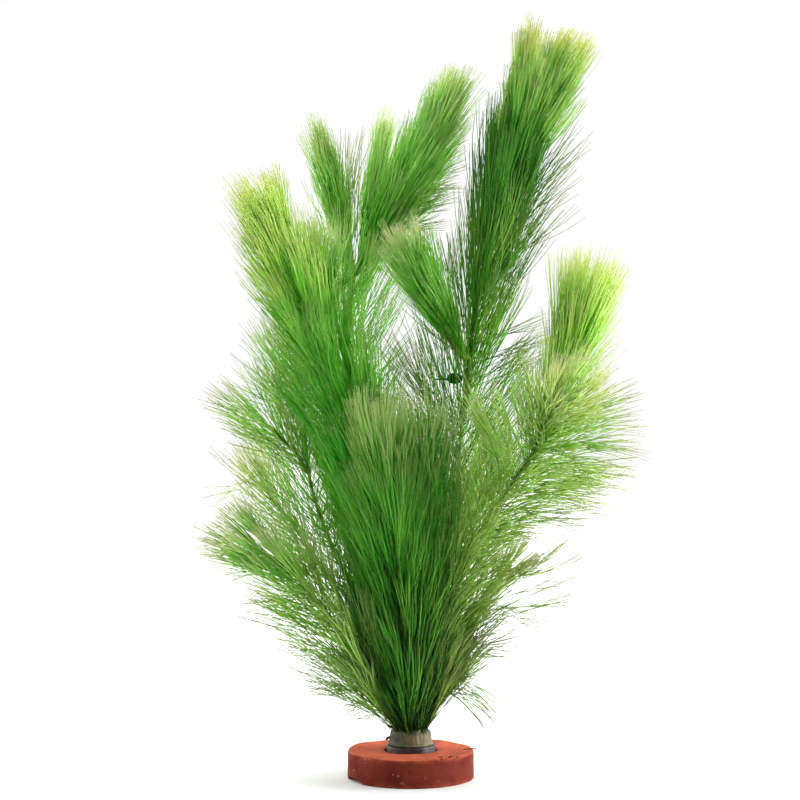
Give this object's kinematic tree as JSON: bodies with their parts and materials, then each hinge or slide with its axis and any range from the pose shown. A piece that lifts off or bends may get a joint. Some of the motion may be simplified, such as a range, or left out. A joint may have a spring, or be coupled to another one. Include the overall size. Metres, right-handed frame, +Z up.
{
  "type": "potted hornwort",
  "caption": "Bunch of hornwort shoots with fine bristly leaf whorls, wrapped in foam and standing in a terracotta ring weight.",
  "frame": {"origin": "centre of the clay ring's underside, where the plant rests on a flat surface", "axes": "+Z up; the front, towards which the centre shoots lean, faces -Y; +X is to the right seen from the front"},
  "size_m": [0.1556, 0.135, 0.2676],
  "materials": {
    "clay": "matte",
    "foam": "matte",
    "band": "satin",
    "lime_leaf": "satin",
    "green_leaf": "satin",
    "dark_leaf": "satin",
    "olive_leaf": "satin"
  },
  "bodies": {
    "root": {"clay_ring": "clay", "foam_wrap": "foam", "dark_band": "band", "tall_shoot": "dark_leaf", "tall_shoot_left_tip": "lime_leaf", "tall_shoot_right_tip": "lime_leaf", "tall_shoot_side_branch": "dark_leaf", "upper_left_shoot": "green_leaf", "upper_left_left_tip": "green_leaf", "upper_left_middle_tip": "green_leaf", "upper_left_right_tip": "green_leaf", "lime_shoot": "lime_leaf", "lime_side_tuft": "olive_leaf", "mid_left_shoot": "green_leaf", "mid_left_branch": "green_leaf", "low_left_shoot": "green_leaf", "olive_left_shoot": "olive_leaf", "right_shoot": "lime_leaf", "right_front_branch": "olive_leaf", "centre_front_shoot": "green_leaf", "centre_short_shoot": "green_leaf", "low_right_shoot": "green_leaf", "back_left_shoot": "green_leaf", "back_right_shoot": "green_leaf"}
  },
  "joints": []
}
